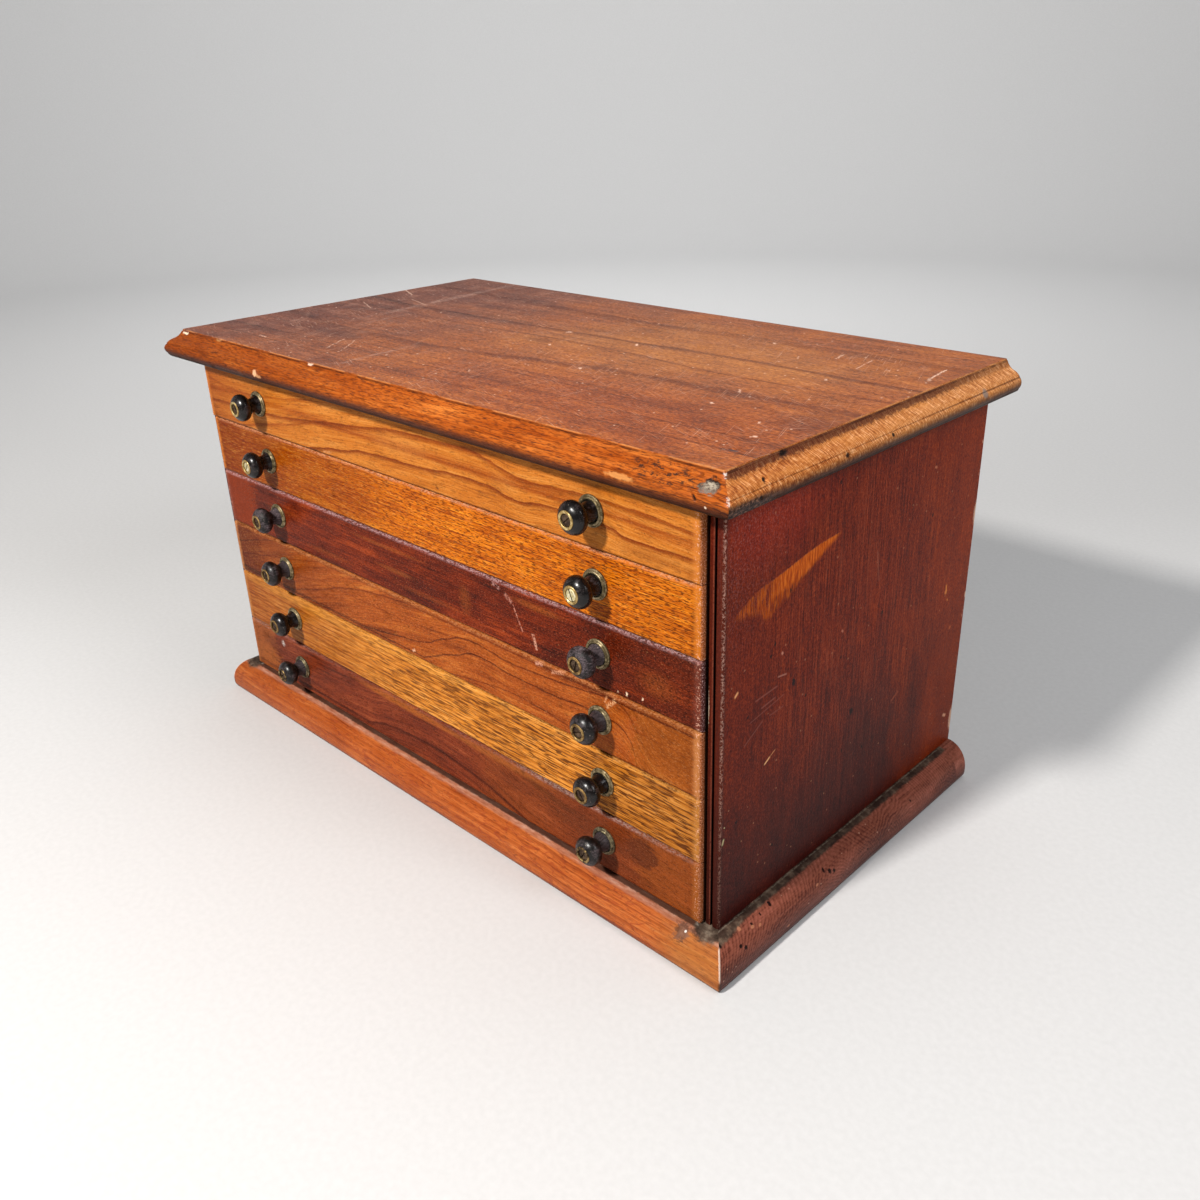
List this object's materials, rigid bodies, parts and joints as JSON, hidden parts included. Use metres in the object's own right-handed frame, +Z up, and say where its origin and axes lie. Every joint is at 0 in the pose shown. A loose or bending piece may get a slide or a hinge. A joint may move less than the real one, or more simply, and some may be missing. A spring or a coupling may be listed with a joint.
{
  "type": "spool cabinet",
  "caption": "Antique wooden counter-top spool cabinet with a moulded top, a rounded plinth and shallow sliding drawers with turned knobs.",
  "frame": {"origin": "on the floor, under the middle of the bounding box", "axes": "+X to the right seen from the front, +Y to the back, +Z up"},
  "size_m": [0.6714, 0.3699, 0.3805],
  "materials": {
    "top_wood": "old varnish, dulled",
    "case_wood": "satin",
    "plinth_front_wood": "satin",
    "plinth_side_wood": "satin",
    "back_wood": "matte",
    "inner_wood": "matte",
    "front_wood_1": "satin",
    "front_wood_2": "satin",
    "front_wood_3": "satin",
    "front_wood_4": "satin",
    "front_wood_5": "satin",
    "front_wood_6": "satin",
    "ebonised_wood": "semi-gloss, worn",
    "aged_brass": "aged",
    "screw_brass": "aged",
    "screw_steel": "tarnished"
  },
  "bodies": {
    "cabinet": {"top_board": "top_wood", "side_panel_left": "case_wood", "side_panel_right": "case_wood", "back_panel": "back_wood", "back_panel_screws": "screw_steel", "bottom_board": "inner_wood", "plinth_front": "plinth_front_wood", "plinth_left": "plinth_side_wood", "plinth_right": "plinth_side_wood", "plinth_back": "plinth_side_wood", "drawer_runners_left": "inner_wood", "drawer_runners_right": "inner_wood"},
    "drawer_1": {"drawer_1_front": "front_wood_1", "drawer_1_side_left": "inner_wood", "drawer_1_side_right": "inner_wood", "drawer_1_back": "inner_wood", "drawer_1_bottom": "inner_wood", "drawer_1_knobs": "ebonised_wood", "drawer_1_knob_brasses": "aged_brass", "drawer_1_knob_screws": "screw_brass"},
    "drawer_2": {"drawer_2_front": "front_wood_2", "drawer_2_side_left": "inner_wood", "drawer_2_side_right": "inner_wood", "drawer_2_back": "inner_wood", "drawer_2_bottom": "inner_wood", "drawer_2_knobs": "ebonised_wood", "drawer_2_knob_brasses": "aged_brass", "drawer_2_knob_screws": "screw_brass"},
    "drawer_3": {"drawer_3_front": "front_wood_3", "drawer_3_side_left": "inner_wood", "drawer_3_side_right": "inner_wood", "drawer_3_back": "inner_wood", "drawer_3_bottom": "inner_wood", "drawer_3_knobs": "ebonised_wood", "drawer_3_knob_brasses": "aged_brass", "drawer_3_knob_screws": "screw_brass"},
    "drawer_4": {"drawer_4_front": "front_wood_4", "drawer_4_side_left": "inner_wood", "drawer_4_side_right": "inner_wood", "drawer_4_back": "inner_wood", "drawer_4_bottom": "inner_wood", "drawer_4_knobs": "ebonised_wood", "drawer_4_knob_brasses": "aged_brass", "drawer_4_knob_screws": "screw_brass"},
    "drawer_5": {"drawer_5_front": "front_wood_5", "drawer_5_side_left": "inner_wood", "drawer_5_side_right": "inner_wood", "drawer_5_back": "inner_wood", "drawer_5_bottom": "inner_wood", "drawer_5_knobs": "ebonised_wood", "drawer_5_knob_brasses": "aged_brass", "drawer_5_knob_screws": "screw_brass"},
    "drawer_6": {"drawer_6_front": "front_wood_6", "drawer_6_side_left": "inner_wood", "drawer_6_side_right": "inner_wood", "drawer_6_back": "inner_wood", "drawer_6_bottom": "inner_wood", "drawer_6_knobs": "ebonised_wood", "drawer_6_knob_brasses": "aged_brass", "drawer_6_knob_screws": "screw_brass"}
  },
  "joints": [
    {"name": "drawer_1_slide", "type": "slide", "parent": "cabinet", "child": "drawer_1", "axis": [0, -1, 0], "range_m": [0, 0.26]},
    {"name": "drawer_2_slide", "type": "slide", "parent": "cabinet", "child": "drawer_2", "axis": [0, -1, 0], "range_m": [0, 0.26]},
    {"name": "drawer_3_slide", "type": "slide", "parent": "cabinet", "child": "drawer_3", "axis": [0, -1, 0], "range_m": [0, 0.26]},
    {"name": "drawer_4_slide", "type": "slide", "parent": "cabinet", "child": "drawer_4", "axis": [0, -1, 0], "range_m": [0, 0.26]},
    {"name": "drawer_5_slide", "type": "slide", "parent": "cabinet", "child": "drawer_5", "axis": [0, -1, 0], "range_m": [0, 0.26]},
    {"name": "drawer_6_slide", "type": "slide", "parent": "cabinet", "child": "drawer_6", "axis": [0, -1, 0], "range_m": [0, 0.26]}
  ]
}
